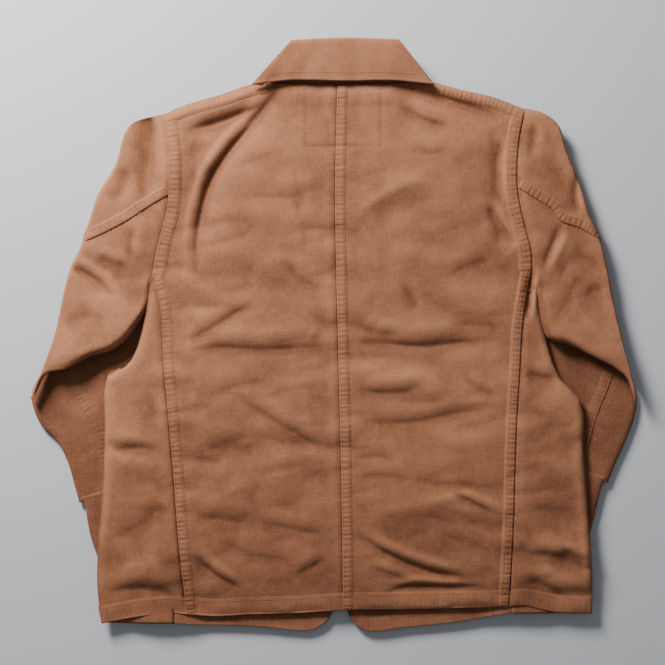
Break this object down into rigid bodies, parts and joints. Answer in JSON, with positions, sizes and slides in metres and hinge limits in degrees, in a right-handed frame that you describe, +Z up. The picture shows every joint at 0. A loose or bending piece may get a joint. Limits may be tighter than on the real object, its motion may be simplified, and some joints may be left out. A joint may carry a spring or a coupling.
{
  "type": "cotton duck work jacket",
  "caption": "Brown cotton duck work jacket lying face down, back up, with felled seams, a turned-down collar and sleeves bent under its sides.",
  "frame": {"origin": "bottom centre of the laid-out jacket's box, on the surface it lies on", "axes": "+X towards the wearer's right, +Y from the hem to the collar, +Z up, out of the back"},
  "size_m": [0.8089, 0.7906, 0.0283],
  "materials": {
    "duck": "matte washed brown cotton duck",
    "duck_shaded": "matte brown cotton duck, less washed out",
    "duck_inside": "matte inner face of the duck",
    "tack_metal": "dull antique brass"
  },
  "bodies": {
    "torso": {"back_panel_left": "duck", "back_panel_right": "duck", "side_panel_left": "duck", "side_panel_right": "duck", "collar_stand": "duck_shaded", "neck_patch": "duck_inside"},
    "collar": {"top_collar": "duck", "under_collar": "duck_shaded"},
    "front_left": {"front_panel_left": "duck_shaded", "front_facing_left": "duck_inside", "lower_pocket_left": "duck", "chest_pocket_left": "duck", "collar_end_left": "duck"},
    "front_right": {"front_panel_right": "duck_shaded", "front_facing_right": "duck_inside", "lower_pocket_right": "duck", "chest_pocket_right": "duck", "collar_end_right": "duck", "tack_plate_1": "tack_metal", "tack_plate_2": "tack_metal", "tack_plate_3": "tack_metal", "tack_plate_4": "tack_metal", "tack_plate_5": "tack_metal"},
    "upper_arm_left": {"top_sleeve_upper_left": "duck", "under_sleeve_upper_left": "duck"},
    "upper_arm_right": {"top_sleeve_upper_right": "duck", "under_sleeve_upper_right": "duck"},
    "forearm_left": {"top_sleeve_lower_left": "duck", "under_sleeve_lower_left": "duck_shaded", "cuff_left": "duck", "cuff_plate_left": "tack_metal"},
    "forearm_right": {"top_sleeve_lower_right": "duck", "under_sleeve_lower_right": "duck_shaded", "cuff_right": "duck", "cuff_plate_right": "tack_metal"},
    "button_1": {"tack_button_1": "tack_metal"},
    "button_2": {"tack_button_2": "tack_metal"},
    "button_3": {"tack_button_3": "tack_metal"},
    "button_4": {"tack_button_4": "tack_metal"},
    "button_5": {"tack_button_5": "tack_metal"},
    "cuff_stud_left": {"cuff_button_left": "tack_metal"},
    "cuff_stud_right": {"cuff_button_right": "tack_metal"}
  },
  "joints": [
    {"name": "collar_turn", "type": "hinge", "parent": "torso", "child": "collar", "pos_m": [0, 0.3948, 0.0254], "axis": [-1, 0, 0], "range_deg": [0, 160]},
    {"name": "elbow_left", "type": "hinge", "parent": "upper_arm_left", "child": "forearm_left", "pos_m": [-0.402, -0.085, 0.0115], "axis": [0, 0, 1], "range_deg": [-50, 0]},
    {"name": "elbow_right", "type": "hinge", "parent": "upper_arm_right", "child": "forearm_right", "pos_m": [0.4035, -0.09, 0.0115], "axis": [0, 0, 1], "range_deg": [0, 50]},
    {"name": "front_left_open", "type": "hinge", "parent": "torso", "child": "front_left", "pos_m": [-0.215, 0, 0.0115], "axis": [0, 1, 0], "range_deg": [0, 100]},
    {"name": "front_right_open", "type": "hinge", "parent": "torso", "child": "front_right", "pos_m": [0.24, 0, 0.0115], "axis": [0, -1, 0], "range_deg": [0, 100]},
    {"name": "shoulder_left", "type": "hinge", "parent": "torso", "child": "upper_arm_left", "pos_m": [-0.23, 0.19, 0.01835], "axis": [0, 0, 1], "range_deg": [-35, 0]},
    {"name": "shoulder_right", "type": "hinge", "parent": "torso", "child": "upper_arm_right", "pos_m": [0.252, 0.19, 0.01835], "axis": [0, 0, 1], "range_deg": [0, 35]},
    {"name": "tack_button_1_spin", "type": "hinge", "parent": "front_right", "child": "button_1", "pos_m": [0.034, 0.235, 0.0057], "axis": [0, 0, 1], "continuous": true},
    {"name": "tack_button_2_spin", "type": "hinge", "parent": "front_right", "child": "button_2", "pos_m": [0.034, 0.107, 0.0057], "axis": [0, 0, 1], "continuous": true},
    {"name": "tack_button_3_spin", "type": "hinge", "parent": "front_right", "child": "button_3", "pos_m": [0.034, -0.021, 0.0057], "axis": [0, 0, 1], "continuous": true},
    {"name": "tack_button_4_spin", "type": "hinge", "parent": "front_right", "child": "button_4", "pos_m": [0.034, -0.149, 0.0057], "axis": [0, 0, 1], "continuous": true},
    {"name": "tack_button_5_spin", "type": "hinge", "parent": "front_right", "child": "button_5", "pos_m": [0.034, -0.277, 0.0057], "axis": [0, 0, 1], "continuous": true},
    {"name": "tack_cuff_left_spin", "type": "hinge", "parent": "forearm_left", "child": "cuff_stud_left", "pos_m": [-0.28222, -0.2513, 0.0029], "axis": [0, 0, 1], "continuous": true},
    {"name": "tack_cuff_right_spin", "type": "hinge", "parent": "forearm_right", "child": "cuff_stud_right", "pos_m": [0.30556, -0.22784, 0.0029], "axis": [0, 0, 1], "continuous": true}
  ]
}
